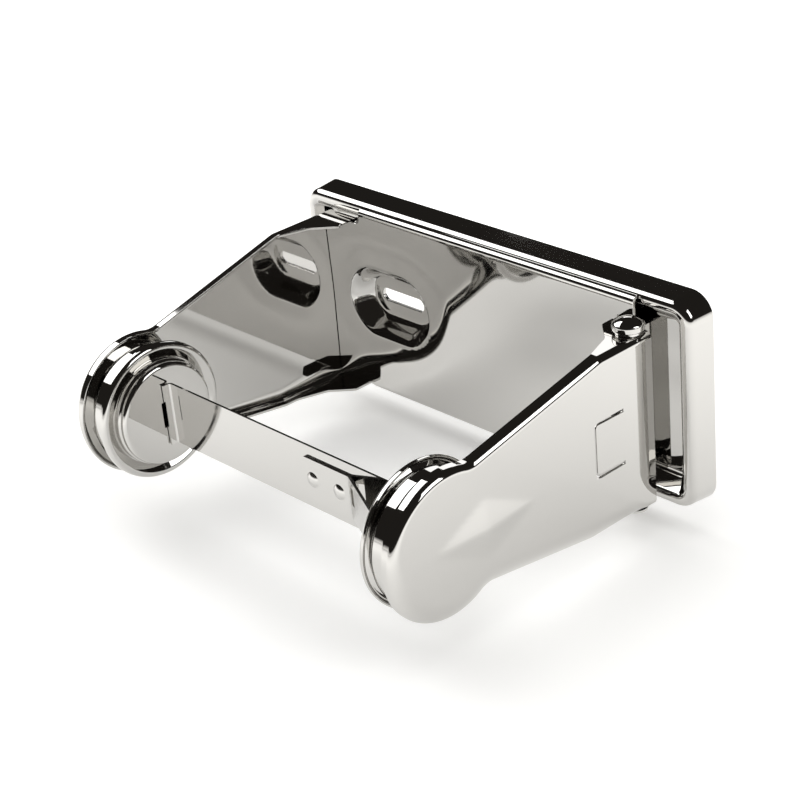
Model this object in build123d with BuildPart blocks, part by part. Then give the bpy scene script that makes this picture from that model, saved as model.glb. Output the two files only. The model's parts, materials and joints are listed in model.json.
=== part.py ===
from build123d import *
from math import asin, atan, cos, degrees, radians, sin, tan
import os

# Chrome-plated, pressed-steel holder for one toilet roll, of the theft-resistant kind.
# Frame: X along the wall, Y into the wall, Z up. The origin is the centre of the plane in
# which the wall plate's back edge stands against the wall. All lengths are millimetres.
# The roll's space lies between the two arms, in front of the wall (negative Y).

os.makedirs("parts", exist_ok=True)

# ---- Wall plate: a pressed tray with a raised, rounded rim ----
plate_width = 175.0
plate_height = 72.0
plate_corner = 8.0
plate_gauge = 1.0
rim_depth = 10.3
rim_top_width = 4.8
rim_foot_width = 9.0
floor_y = -4.2
rim_edge_radius = 2.6
rim_foot_radius = 2.2

# ---- Screw slots, through the bracket's dishes and the wall plate ----
slot_x = -46.0
slot_length = 21.0
slot_width = 5.0
hole_x = 53.5
hole_radius = 2.5

# ---- Bracket: the web that carries both arms ----
sheet = 1.2
web_y = -13.0
web_half_height = 34.3
web_left = -74.2
web_full_left = -56.0
web_right = 66.0
web_strip_right = 67.0
end_wall_gap = 0.2
end_wall_overlap = 0.3
end_wall_clear = 1.0
web_bend_radius = 1.6
dish_mouth_radius = 2.6
web_flange_y = -rim_depth - 0.1
dish_half_length = 18.5
dish_half_height = 13.5
dish_floor_half_length = 14.6
dish_floor_half_height = 7.4
round_dish_radius = 9.5
round_dish_floor_radius = 6.2
round_dish_mouth_radius = 1.2

# ---- Arms: pressed trays, open towards the roll ----
arm_gauge = 1.0
arm_outer_x = 75.2
arm_depth = 4.2
arm_bend_radius = 2.2
arm_bottom = -34.0
arm_shoulder_y = -37.0
arm_neck_y = -95.0
arm_neck_top = 14.1
arm_belly_y = -42.0
arm_waist_y = -92.0
arm_waist_bottom = -26.7
outline_radius = 9.0
left_arm_top = 29.6
left_arm_rear = web_flange_y
right_arm_top = 26.0
right_arm_rear = -14.3
ear_inner_x = 59.8
ear_hip_x = 67.2
ear_hip_y = -26.0
ear_tip_y = -19.0
ear_tip_radius = 1.5

# ---- Diamond embossed on each arm's outer face ----
diamond_y = -88.0
diamond_half_length = 20.4
diamond_half_height = 10.0
diamond_rise = 1.5
diamond_peak_scale = 0.03

# ---- Stop tab, lanced from each arm's wall and pressed inwards ----
lance_front_y = -41.2
lance_root_y = -28.0
lance_top = 5.8
lance_bottom = -13.2
lance_slit = 0.5
lance_press = 1.9

# ---- Hinge of the right arm ----
hinge_x = 69.8
hinge_y = -18.4
rivet_radius = 2.0
rivet_fit = 0.06
rivet_head_radius = 5.1
rivet_dome = 3.1
rivet_rim = 0.8
low_head_radius = 3.6
low_head_dome = 0.7
low_head_rim = 0.3
rivet_tail_radius = 3.0
rivet_tail = 1.0
washer_radius = 4.2
washer_gauge = 0.8
washer_gap = 0.1
lug_gap = 0.3
lug_radius = 3.6
lug_root_x = 60.4
lug_root_right = 64.5
lug_edge_angle = radians(73)
slit_above_lug = 2.4

# ---- Hubs at the arms' ends, turned about one axis along X ----
hub_y = -101.0
hub_z = -7.5
hub_radius = 24.0
hub_gauge = 0.8
collar_radius = 21.0
collar_foot_radius = 18.6
collar_face_x = 63.2
collar_foot_length = 4.2
collar_step_length = 1.4
collar_bend_radius = 1.3
hub_hole_radius = 9.0
flange_radius = 22.8
flange_rim_x = 59.9
flange_disc_x = 62.4
flange_roll = 2.6
flange_bend_radius = 1.1
flange_seat_gap = 0.4
cup_radius = 17.5
cup_face_x = 57.0
cup_base_radius = 18.1
cup_step_near_x = 1.8
cup_step_far_x = 2.4
cup_step_radius = 0.5
cup_bend_radius = 1.0

# ---- Lock bar: a flat bar between the cups, with a riveted leaf spring ----
bar_y = -99.2
bar_gauge = 0.8
bar_height = 21.5
bar_end_gap = 0.3
bar_lip = 3.0
tongue_height = 8.0
tongue_reach = 0.9
tongue_play = 0.5
bar_bend_radius = 1.2
pivot_shoulder_gap = 0.4
pivot_neck_height = 11.4
pivot_head_height = 15.0
pivot_slot_height = 12.2
pivot_slot_width = 1.4
pivot_head_x = 58.4
pivot_head_end_x = 60.4
release_travel = 3.6
leaf_gauge = 0.9
leaf_left_x = 8.5
leaf_bend_x = 31.0
leaf_height = 14.0
leaf_angle = 26.0
leaf_end_gap = 0.8
leaf_bend_radius = 2.5
leaf_corner_radius = 3.0
leaf_rivet_x = (14.1, 26.1)
leaf_rivet_radius = 1.6
leaf_rivet_head = 2.6
leaf_rivet_dome = 0.9
leaf_rivet_tail_radius = 2.2
leaf_rivet_tail = 0.6
leaf_window_width = 2.4
leaf_window_height = 6.0
leaf_window_x = 33.6
leaf_window_rise = 1.5

hub_axis = Axis((0, hub_y, hub_z), (1, 0, 0))


def make_wall_plate():
    """Tray: a rounded rectangle with a raised rim, hollow from behind, with a screw slot and a screw hole."""
    crest_width = plate_width - 2 * rim_top_width
    crest_height = plate_height - 2 * rim_top_width
    recess = rim_depth + floor_y
    slope = degrees(atan((rim_foot_width - rim_top_width) / recess))
    with BuildPart() as wall_plate:
        with BuildSketch(Plane.XZ):
            RectangleRounded(plate_width, plate_height, plate_corner)
        extrude(amount=rim_depth)
        with BuildSketch(Plane.XZ.offset(rim_depth)):
            RectangleRounded(crest_width, crest_height, plate_corner)
        extrude(amount=-recess, taper=slope, mode=Mode.SUBTRACT)
        floor = wall_plate.faces().filter_by(Axis.Y).sort_by(Axis.Y)[1]
        fillet(floor.edges(), radius=rim_foot_radius)
        crest = wall_plate.faces().sort_by(Axis.Y)[0]
        fillet(crest.edges(), radius=rim_edge_radius)
        back = wall_plate.faces().sort_by(Axis.Y)[-1]
        offset(amount=-plate_gauge, openings=back)
        with BuildSketch(Plane.XZ):
            with Locations((slot_x, 0)):
                SlotOverall(slot_length, slot_width)
            with Locations((hole_x, 0)):
                Circle(hole_radius)
        extrude(amount=rim_depth, mode=Mode.SUBTRACT)
    wall_plate.part.label = "wall_plate"
    export_step(wall_plate.part, "parts/wall_plate.step")


def make_bracket():
    """Web with turned-back edges, a dished screw slot, a dished screw hole and the hinge's two lugs."""
    web_back_y = web_y + sheet
    dish_bottom_y = floor_y - sheet
    top_lug_top = right_arm_top - arm_gauge - lug_gap
    bottom_lug_bottom = arm_bottom + arm_gauge + lug_gap
    lug_edge_x = lug_radius * cos(lug_edge_angle)
    lug_edge_y = lug_radius * sin(lug_edge_angle)
    full_length = web_strip_right - web_full_left
    left_length = web_full_left - web_left
    left_top = left_arm_top - arm_gauge
    left_bottom = arm_bottom + arm_gauge
    with BuildPart() as bracket:
        with BuildSketch(Plane.XZ.offset(-web_flange_y)):
            with Locations((web_full_left + full_length / 2, 0)):
                Rectangle(full_length, 2 * web_half_height)
        extrude(amount=web_flange_y - web_y)
        front = bracket.faces().sort_by(Axis.Y)[0]
        fillet(front.edges().filter_by(Axis.X), radius=web_bend_radius)
        with BuildSketch(Plane.XZ.offset(-web_flange_y)):
            with Locations((web_full_left + full_length / 2, 0)):
                Rectangle(full_length, 2 * (web_half_height - sheet))
        extrude(amount=web_flange_y - web_back_y, mode=Mode.SUBTRACT)
        # The lower web beside the left arm, under that arm's ears.
        with BuildSketch(Plane.XZ.offset(-web_back_y)):
            with Locations((web_left + left_length / 2, (left_top + left_bottom) / 2)):
                Rectangle(left_length, left_top - left_bottom)
        extrude(amount=sheet)
        left_corners = bracket.edges().filter_by(Axis.Y).group_by(Axis.X)[0]
        fillet(left_corners, radius=arm_bend_radius)
        # The right end steps in below its top strip, and slits free both lugs.
        with BuildSketch(Plane.XZ.offset(-web_flange_y)):
            with Locations((lug_root_x, top_lug_top)):
                Rectangle(full_length, slit_above_lug, align=(Align.MIN, Align.MIN))
            with Locations((lug_root_x, bottom_lug_bottom)):
                Rectangle(full_length, web_half_height, align=(Align.MIN, Align.MAX))
            with Locations((web_right, top_lug_top)):
                Rectangle(full_length, 2 * web_half_height, align=(Align.MIN, Align.MAX))
        extrude(amount=web_flange_y - web_y, mode=Mode.SUBTRACT)
        # Dishes pressed back to the plate's floor: an oval one round the slot, a round one round the hole.
        for skin, mode in ((0, Mode.ADD), (sheet, Mode.SUBTRACT)):
            mouth_y = web_y if skin else web_back_y
            seat_y = dish_bottom_y + sheet - skin
            with BuildSketch(Plane.XZ.offset(-mouth_y)):
                with Locations((slot_x, 0)):
                    SlotOverall(2 * dish_half_length, 2 * dish_half_height)
            with BuildSketch(Plane.XZ.offset(-seat_y)):
                with Locations((slot_x, 0)):
                    SlotOverall(2 * (dish_floor_half_length - skin), 2 * (dish_floor_half_height - skin))
            loft(mode=mode)
            with BuildSketch(Plane.XZ.offset(-mouth_y)):
                with Locations((hole_x, 0)):
                    Circle(round_dish_radius)
            with BuildSketch(Plane.XZ.offset(-seat_y)):
                with Locations((hole_x, 0)):
                    Circle(round_dish_floor_radius - skin)
            loft(mode=mode)
        for place_x, radius in ((slot_x, dish_mouth_radius), (hole_x, round_dish_mouth_radius)):
            web_face = bracket.faces().filter_by(Axis.Y).group_by(Axis.Y)[0].sort_by(SortBy.AREA)[-1]
            mouths = web_face.inner_wires().sort_by_distance((place_x, web_y, 0))
            fillet(mouths[0].edges(), radius=radius)
        with BuildSketch(Plane.XZ):
            with Locations((slot_x, 0)):
                SlotOverall(slot_length, slot_width)
            with Locations((hole_x, 0)):
                Circle(hole_radius)
        extrude(amount=-web_y, mode=Mode.SUBTRACT)
        # Between the lugs the right end turns back towards the plate.
        wall_top = top_lug_top - sheet - end_wall_clear
        wall_bottom = bottom_lug_bottom + sheet + end_wall_clear
        with BuildSketch(Plane.XZ.offset(-(floor_y - end_wall_gap))):
            with Locations((web_right - sheet, wall_bottom)):
                Rectangle(sheet, wall_top - wall_bottom, align=(Align.MIN, Align.MIN))
        extrude(amount=floor_y - end_wall_gap - web_back_y + end_wall_overlap)
        # Lugs folded forward from the web, above and below, round the hinge rivets.
        for lug_z in (top_lug_top - sheet, bottom_lug_bottom):
            with BuildSketch(Plane.XY.offset(lug_z)):
                with BuildLine():
                    Polyline(
                        (lug_root_x, web_back_y),
                        (lug_root_right, web_back_y),
                        (lug_root_right, web_y),
                        (hinge_x + lug_edge_x, hinge_y + lug_edge_y),
                        (hinge_x, hinge_y - lug_radius),
                        (lug_root_x, web_y - lug_radius),
                        close=True,
                    )
                make_face()
                with Locations((hinge_x, hinge_y)):
                    Circle(lug_radius)
                with Locations((hinge_x, hinge_y)):
                    Circle(rivet_radius, mode=Mode.SUBTRACT)
            extrude(amount=sheet)
    bracket.part.label = "bracket"
    export_step(bracket.part, "parts/bracket.step")


def blade_outline(side, top, rear_y):
    """Side view of an arm, on the plane of its outer face: a tapering blade and a round hub."""
    plane = Plane.YZ.offset(side * arm_outer_x)
    with BuildSketch(plane) as outline:
        with BuildLine():
            Polyline(
                (rear_y, top),
                (arm_shoulder_y, top),
                (arm_neck_y, arm_neck_top),
                (arm_waist_y, arm_waist_bottom),
                (arm_belly_y, arm_bottom),
                (rear_y, arm_bottom),
                close=True,
            )
        make_face()
        with Locations((hub_y, hub_z)):
            Circle(hub_radius)
        # The outline's own axes are Y and Z, so a corner's X is its distance along the arm.
        corners = outline.vertices().filter_by(lambda corner: hub_y < corner.X < rear_y - arm_gauge)
        fillet(corners, radius=outline_radius)
    return outline.sketch


def make_arm(name, side, top, rear_y, hinged):
    """Pressed arm: a tray with a turned-in edge, two ears, a diamond and a lanced stop tab."""
    inner_x = side * (arm_outer_x - arm_depth)
    wall_x = side * (arm_outer_x - arm_gauge)
    with BuildPart() as arm:
        extrude(blade_outline(side, top, rear_y), amount=arm_depth, dir=(-side, 0, 0))
        face = arm.faces().filter_by(Axis.X).sort_by(Axis.X)[-1 if side > 0 else 0]
        rim = face.edges().filter_by(lambda edge: edge.center().Y < rear_y - arm_gauge)
        fillet(rim, radius=arm_bend_radius)
        inner = arm.faces().filter_by(Axis.X).sort_by(Axis.X)[0 if side > 0 else -1]
        rear = arm.faces().filter_by(Axis.Y).sort_by(Axis.Y)[-1]
        offset(amount=-arm_gauge, openings=[inner, rear])
        # Ears: the turned-in edges widen towards the wall.
        for ear_z in (top - arm_gauge, arm_bottom):
            with BuildSketch(Plane.XY.offset(ear_z)) as ear:
                with BuildLine():
                    Polyline(
                        (side * (arm_outer_x - arm_bend_radius), rear_y),
                        (side * ear_inner_x, rear_y),
                        (side * ear_inner_x, ear_tip_y),
                        (side * ear_hip_x, ear_hip_y),
                        (inner_x, arm_shoulder_y),
                        (side * (arm_outer_x - arm_bend_radius), arm_shoulder_y),
                        close=True,
                    )
                make_face()
                corner = ear.vertices().sort_by_distance((side * ear_inner_x, ear_tip_y, ear_z))[0]
                fillet(corner, radius=ear_tip_radius)
            extrude(amount=arm_gauge)
        # The diamond is raised outside and hollow inside.
        for start_x, mode in ((side * arm_outer_x, Mode.ADD), (wall_x, Mode.SUBTRACT)):
            for rise, scale in ((0, 1), (diamond_rise, diamond_peak_scale)):
                with BuildSketch(Plane.YZ.offset(start_x + side * rise)):
                    with Locations((diamond_y, hub_z)):
                        Polygon(
                            (-scale * diamond_half_length, 0),
                            (0, -scale * diamond_half_height),
                            (scale * diamond_half_length, 0),
                            (0, scale * diamond_half_height),
                            align=None,
                        )
            loft(mode=mode)
        # Stop tab: a window in the wall, and the tongue of metal pressed in from its root.
        lance_mid = (lance_top + lance_bottom) / 2
        with BuildSketch(Plane.YZ.offset(wall_x - side)):
            with Locations(((lance_front_y + lance_root_y) / 2, lance_mid)):
                Rectangle(lance_root_y - lance_front_y, lance_top - lance_bottom)
        extrude(amount=side * arm_depth, mode=Mode.SUBTRACT)
        tab_height = lance_top - lance_bottom - 2 * lance_slit
        tip_y = lance_front_y + lance_slit
        with BuildSketch(Plane.XY.offset(lance_mid)):
            with BuildLine():
                Polyline(
                    (side * arm_outer_x, lance_root_y),
                    (wall_x, lance_root_y),
                    (wall_x - side * lance_press, tip_y),
                    (side * arm_outer_x - side * lance_press, tip_y),
                    close=True,
                )
            make_face()
        extrude(amount=tab_height / 2, both=True)
        if hinged:
            with BuildSketch(Plane.XY.offset(arm_bottom)):
                with Locations((hinge_x, hinge_y)):
                    Circle(rivet_radius + rivet_fit)
            extrude(amount=top - arm_bottom, mode=Mode.SUBTRACT)
    arm.part.label = name
    export_step(arm.part, f"parts/{name}.step")


def dome_middle(radius, rise):
    """Point halfway along a spherical dome's profile: distance off the axis, and height."""
    sphere = (radius**2 + rise**2) / (2 * rise)
    half_angle = asin(radius / sphere) / 2
    return sphere * sin(half_angle), rise - sphere * (1 - cos(half_angle))


def make_hinge_rivet(name, ear_face_z, lug_far_z, head_radius, dome, rim):
    """Rivet with a domed head outside the ear and a clinched tail inside the lug."""
    out = 1 if ear_face_z > lug_far_z else -1
    seat_z = ear_face_z + out * (2 * washer_gap + washer_gauge)
    rim_z = seat_z + out * rim
    dome_z = rim_z + out * dome
    tail_z = lug_far_z - out * rivet_tail
    middle_radius, middle_rise = dome_middle(head_radius, dome)
    with BuildPart() as rivet:
        with BuildSketch(Plane.XZ.offset(-hinge_y)):
            with BuildLine():
                Polyline(
                    (hinge_x, dome_z),
                    (hinge_x, tail_z),
                    (hinge_x + rivet_tail_radius, tail_z),
                    (hinge_x + rivet_tail_radius, lug_far_z),
                    (hinge_x + rivet_radius, lug_far_z),
                    (hinge_x + rivet_radius, seat_z),
                    (hinge_x + head_radius, seat_z),
                    (hinge_x + head_radius, rim_z),
                )
                ThreePointArc(
                    (hinge_x + head_radius, rim_z),
                    (hinge_x + middle_radius, rim_z + out * middle_rise),
                    (hinge_x, dome_z),
                )
            make_face()
        revolve(axis=Axis((hinge_x, hinge_y, 0), (0, 0, 1)))
    rivet.part.label = name
    export_step(rivet.part, f"parts/{name}.step")


def make_hinge_washer(name, ear_face_z, out):
    """Plain washer between a hinge rivet's head and the arm's ear."""
    with BuildPart() as washer:
        with BuildSketch(Plane.XY.offset(ear_face_z + out * washer_gap)):
            with Locations((hinge_x, hinge_y)):
                Circle(washer_radius)
                Circle(rivet_radius + rivet_fit, mode=Mode.SUBTRACT)
        extrude(amount=out * washer_gauge)
    washer.part.label = name
    export_step(washer.part, f"parts/{name}.step")


def make_hub_collar(name, side):
    """Drawn cup welded inside the arm's round end; its face carries the roll flange."""
    foot_x = arm_outer_x - arm_gauge
    step_x = foot_x - collar_foot_length
    with BuildPart() as collar:
        with BuildSketch(Plane.XY.offset(hub_z)):
            with BuildLine():
                FilletPolyline(
                    (side * foot_x, hub_y + collar_foot_radius),
                    (side * step_x, hub_y + collar_foot_radius),
                    (side * (step_x - collar_step_length), hub_y + collar_radius),
                    (side * collar_face_x, hub_y + collar_radius),
                    (side * collar_face_x, hub_y + hub_hole_radius),
                    radius=collar_bend_radius,
                )
            trace(line_width=hub_gauge)
        revolve(axis=hub_axis)
    collar.part.label = name
    export_step(collar.part, f"parts/{name}.step")


def make_roll_flange(name, side):
    """Dished disc beside the roll's end, with its edge rolled back."""
    with BuildPart() as flange:
        with BuildSketch(Plane.XY.offset(hub_z)):
            with BuildLine():
                FilletPolyline(
                    (side * (flange_rim_x + flange_roll), hub_y + flange_radius),
                    (side * flange_rim_x, hub_y + flange_radius),
                    (side * flange_disc_x, hub_y + cup_base_radius + flange_seat_gap),
                    (side * flange_disc_x, hub_y + hub_hole_radius),
                    radius=flange_bend_radius,
                )
            trace(line_width=hub_gauge)
        revolve(axis=hub_axis)
    flange.part.label = name
    export_step(flange.part, f"parts/{name}.step")


def make_core_cup(name, side):
    """Drawn cup that enters the roll's core, with a slot in its face for the lock bar."""
    base_x = flange_disc_x - hub_gauge / 2
    face_x = cup_face_x + hub_gauge / 2
    wall_radius = cup_radius - hub_gauge / 2
    base_radius = cup_base_radius - hub_gauge / 2
    with BuildPart() as cup:
        with BuildSketch(Plane.XY.offset(hub_z)):
            with BuildLine():
                FilletPolyline(
                    (side * base_x, hub_y + base_radius),
                    (side * (face_x + cup_step_far_x), hub_y + base_radius),
                    (side * (face_x + cup_step_near_x), hub_y + wall_radius),
                    (side * face_x, hub_y + wall_radius),
                    (side * face_x, hub_y),
                    radius=(cup_step_radius, cup_step_radius, cup_bend_radius),
                )
            trace(line_width=hub_gauge)
        revolve(axis=hub_axis)
        if side > 0:
            slot_front_y = bar_y - pivot_slot_width / 2
            slot_rear_y = bar_y + pivot_slot_width / 2
            slot_height = pivot_slot_height
        else:
            slot_front_y = bar_y - bar_gauge / 2 - release_travel
            slot_rear_y = bar_y + bar_gauge / 2 + bar_end_gap
            slot_height = tongue_height + 2 * tongue_play
        with BuildSketch(Plane.YZ.offset(side * (cup_face_x - hub_gauge))):
            with Locations(((slot_front_y + slot_rear_y) / 2, hub_z)):
                Rectangle(slot_rear_y - slot_front_y, slot_height)
        extrude(amount=side * 3 * hub_gauge, mode=Mode.SUBTRACT)
    cup.part.label = name
    export_step(cup.part, f"parts/{name}.step")


def make_lock_bar():
    """Flat bar: a lip and tongue at its left end, a neck and T-head at its pivot end."""
    lip_x = -cup_face_x + bar_end_gap
    body_end_x = cup_face_x - pivot_shoulder_gap
    rear_y = bar_y + bar_gauge / 2
    front_y = bar_y - bar_gauge / 2
    tongue_root = bar_bend_radius + bar_gauge
    with BuildPart() as lock_bar:
        # The lip is bent towards the front, beside the left cup's face.
        with BuildSketch(Plane.XY.offset(hub_z)):
            with BuildLine():
                FilletPolyline(
                    (lip_x + bar_gauge / 2, front_y - bar_lip + bar_gauge / 2),
                    (lip_x + bar_gauge / 2, bar_y),
                    (body_end_x, bar_y),
                    radius=bar_bend_radius,
                )
            trace(line_width=bar_gauge)
        extrude(amount=bar_height / 2, both=True)
        # Tongue into the left cup's slot.
        with BuildSketch(Plane.XZ.offset(-rear_y)):
            with Locations((lip_x + tongue_root, hub_z)):
                Rectangle(
                    tongue_root + bar_end_gap + tongue_reach,
                    tongue_height,
                    align=(Align.MAX, Align.CENTER),
                )
            with Locations((body_end_x, hub_z)):
                Rectangle(
                    pivot_head_end_x - body_end_x, pivot_neck_height, align=(Align.MIN, Align.CENTER)
                )
            with Locations((pivot_head_x, hub_z)):
                Rectangle(
                    pivot_head_end_x - pivot_head_x, pivot_head_height, align=(Align.MIN, Align.CENTER)
                )
        extrude(amount=bar_gauge)
        with BuildSketch(Plane.XZ.offset(-rear_y)):
            with Locations(*[(x, hub_z) for x in leaf_rivet_x]):
                Circle(leaf_rivet_radius)
        extrude(amount=bar_gauge, mode=Mode.SUBTRACT)
    lock_bar.part.label = "lock_bar"
    export_step(lock_bar.part, "parts/lock_bar.step")


def make_leaf_spring():
    """Spring plate riveted on the bar's front, bent away from it to bear on the right cup."""
    back_y = bar_y - bar_gauge / 2
    mid_y = back_y - leaf_gauge / 2
    end_x = cup_face_x - leaf_end_gap
    end_y = mid_y - (end_x - leaf_bend_x) * tan(radians(leaf_angle))
    with BuildPart() as leaf_spring:
        with BuildSketch(Plane.XY.offset(hub_z)):
            with BuildLine():
                FilletPolyline(
                    (leaf_left_x, mid_y),
                    (leaf_bend_x, mid_y),
                    (end_x, end_y),
                    radius=leaf_bend_radius,
                )
            trace(line_width=leaf_gauge)
        extrude(amount=leaf_height / 2, both=True)
        left_edges = leaf_spring.edges().filter_by(Axis.Y).group_by(Axis.X)[0]
        fillet(left_edges, radius=leaf_corner_radius)
        with BuildSketch(Plane.XZ.offset(-back_y)):
            with Locations(*[(x, hub_z) for x in leaf_rivet_x]):
                Circle(leaf_rivet_radius)
            with Locations((leaf_window_x, hub_z + leaf_window_rise)):
                Rectangle(leaf_window_width, leaf_window_height)
        extrude(amount=leaf_height / 2, mode=Mode.SUBTRACT)
    leaf_spring.part.label = "leaf_spring"
    export_step(leaf_spring.part, "parts/leaf_spring.step")


def make_bar_rivets():
    """Two identical rivets through the leaf spring and the bar, domed on the front."""
    head_y = bar_y - bar_gauge / 2 - leaf_gauge
    tail_y = bar_y + bar_gauge / 2
    dome_y = head_y - leaf_rivet_dome
    end_y = tail_y + leaf_rivet_tail
    middle_radius, middle_rise = dome_middle(leaf_rivet_head, leaf_rivet_dome)
    with BuildPart() as bar_rivets:
        for x in leaf_rivet_x:
            with BuildSketch(Plane.XY.offset(hub_z)):
                with BuildLine():
                    Polyline(
                        (x, dome_y),
                        (x, end_y),
                        (x + leaf_rivet_tail_radius, end_y),
                        (x + leaf_rivet_tail_radius, tail_y),
                        (x + leaf_rivet_radius, tail_y),
                        (x + leaf_rivet_radius, head_y),
                        (x + leaf_rivet_head, head_y),
                    )
                    ThreePointArc(
                        (x + leaf_rivet_head, head_y),
                        (x + middle_radius, head_y - middle_rise),
                        (x, dome_y),
                    )
                make_face()
            revolve(axis=Axis((x, 0, hub_z), (0, 1, 0)))
    bar_rivets.part.label = "bar_rivets"
    export_step(bar_rivets.part, "parts/bar_rivets.step")


make_wall_plate()
make_bracket()
make_arm("left_arm", -1, left_arm_top, left_arm_rear, hinged=False)
make_arm("right_arm", 1, right_arm_top, right_arm_rear, hinged=True)
upper_lug_far = right_arm_top - arm_gauge - lug_gap - sheet
lower_lug_far = arm_bottom + arm_gauge + lug_gap + sheet
upper_head = (rivet_head_radius, rivet_dome, rivet_rim)
lower_head = (low_head_radius, low_head_dome, low_head_rim)
make_hinge_rivet("upper_hinge_rivet", right_arm_top, upper_lug_far, *upper_head)
make_hinge_rivet("lower_hinge_rivet", arm_bottom, lower_lug_far, *lower_head)
make_hinge_washer("upper_hinge_washer", right_arm_top, 1)
make_hinge_washer("lower_hinge_washer", arm_bottom, -1)
for hand, side in (("left", -1), ("right", 1)):
    make_hub_collar(f"{hand}_hub_collar", side)
    make_roll_flange(f"{hand}_roll_flange", side)
    make_core_cup(f"{hand}_core_cup", side)
make_lock_bar()
make_leaf_spring()
make_bar_rivets()
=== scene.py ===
import json
from math import cos, pi, radians, sin

import bpy
import numpy as np
from mathutils import Matrix, Vector, geometry


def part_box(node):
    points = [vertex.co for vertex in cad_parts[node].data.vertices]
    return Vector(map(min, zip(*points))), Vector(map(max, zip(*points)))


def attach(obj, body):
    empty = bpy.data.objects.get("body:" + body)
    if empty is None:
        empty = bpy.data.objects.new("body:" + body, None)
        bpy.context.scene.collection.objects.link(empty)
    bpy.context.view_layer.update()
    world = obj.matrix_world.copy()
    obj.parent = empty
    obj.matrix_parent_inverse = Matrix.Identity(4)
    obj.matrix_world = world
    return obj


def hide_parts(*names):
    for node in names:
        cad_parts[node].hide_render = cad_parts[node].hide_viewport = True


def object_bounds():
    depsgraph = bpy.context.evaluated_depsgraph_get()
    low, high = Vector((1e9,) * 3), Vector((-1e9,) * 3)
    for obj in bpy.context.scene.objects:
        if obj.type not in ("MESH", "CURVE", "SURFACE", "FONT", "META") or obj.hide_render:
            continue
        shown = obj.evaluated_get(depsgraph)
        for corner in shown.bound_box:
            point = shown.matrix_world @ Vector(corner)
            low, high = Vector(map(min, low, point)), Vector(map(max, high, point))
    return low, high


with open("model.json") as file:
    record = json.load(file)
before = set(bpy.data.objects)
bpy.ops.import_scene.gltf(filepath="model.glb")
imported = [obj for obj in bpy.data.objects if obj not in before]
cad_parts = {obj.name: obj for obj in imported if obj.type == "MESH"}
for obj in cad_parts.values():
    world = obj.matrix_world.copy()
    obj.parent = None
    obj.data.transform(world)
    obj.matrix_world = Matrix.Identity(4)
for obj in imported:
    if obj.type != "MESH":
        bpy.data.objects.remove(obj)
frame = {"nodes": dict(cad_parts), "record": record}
cad_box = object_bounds()

# ---- Driving values: metres and degrees, and the lens and its sensor in millimetres ----
CAMERA_PLACE = (0.4318, -0.4240, 0.2870)
CAMERA_AZIMUTH = 49.15
CAMERA_ELEVATION = 27.14
CAMERA_ROLL = -5.61
CAMERA_LENS = 90.05
CAMERA_SENSOR = 36
CAMERA_NEAR = 0.01

FLOOR_GAP = 0.010
FLOOR_HALF = 8.0
# The floor's glow near the object and far from it, and the distances over which it rises: a painted
# shadow round the object.
FLOOR_GLOW_AND_SHADE = (0.30, 0.80)
FLOOR_SHADE_REACH = (0.04, 0.30)
FLOOR_COLOUR = (0.80, 0.80, 0.79, 1)
FLOOR_GLOW_COLOUR = (1, 0.99, 0.97, 1)
HORIZON_GLOW = (1.20, 1.18, 1.15, 1)
HORIZON_END = 0.50
STUDIO_DARK = (0.020, 0.018, 0.016, 1)
STUDIO_DARK_START = 0.535

# Soft lights: direction from the centre, distance, width and height, and watts.
SOFTBOX_LEFT = ((-0.72, -0.12, 0.68), 1.3, (0.95, 0.75), 7.0)
SOFTBOX_RIGHT = ((0.80, 0.25, 0.60), 1.5, (0.7, 0.9), 7.0)
CANOPY = ((0, 0, 1), 1.2, (1.6, 1.6), 13.0)
PAPER_SWEEP = ((-0.577, 0.766, 0.284), 0.95, (0.27, 0.49), 0.7)

CHROME = (0.575, 0.565, 0.545, 1)
STEEL = (0.62, 0.61, 0.59, 1)
GLOSS_RANGE = (0.7, 1.5)
SMUDGE_SCALE = 60
SMUDGE_DETAIL = 4
WAVE_SCALE = 38
WAVE_DETAIL = 1
WAVE_HEIGHT = 0.001
BRUSH_SCALE = (60, 2500, 2500)
BRUSH_HEIGHT = 0.0001

# ---- Mesh tools: lengths in millimetres, angles in radians ----
MM = 0.001
SPACING = 1.2
ARC_SPACING = 0.7
ARC_STEP = 0.13
LEAST_ARC_STEPS = 3
RIM_CLEARANCE = 0.55
SAME_PLACE = 1e-7
EDGE_SWELL = 0.12
EDGE_LEAN = 0.5

# ---- Shapes, in millimetres ----
PLATE_GAUGE = 1.0
PLATE_CORNER = 8.0
LEAST_CORNER = 1.5
PLATE_FLOOR = 4.2
RIM_TOP = 4.8
RIM_START = 0.17
RIM_DRAFT = 1.0
RIM_FOOT = 9.0
FLOOR_START = 11.5
RIM_OUTER_BEND = 2.6
RIM_INNER_BEND = 2.6
RIM_FOOT_BEND = 2.2
PLATE_SPACING = 6.0
PLATE_CORNER_STEPS = 16
PLATE_LONG_STEPS = 36
PLATE_SHORT_STEPS = 14

SLOT_X = -46.0
SLOT_LENGTH = 21.0
SLOT_WIDTH = 5.0
SLOT_SPACING = 0.4
HOLE_X = 53.5
HOLE_STRETCH = 0.01

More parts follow.
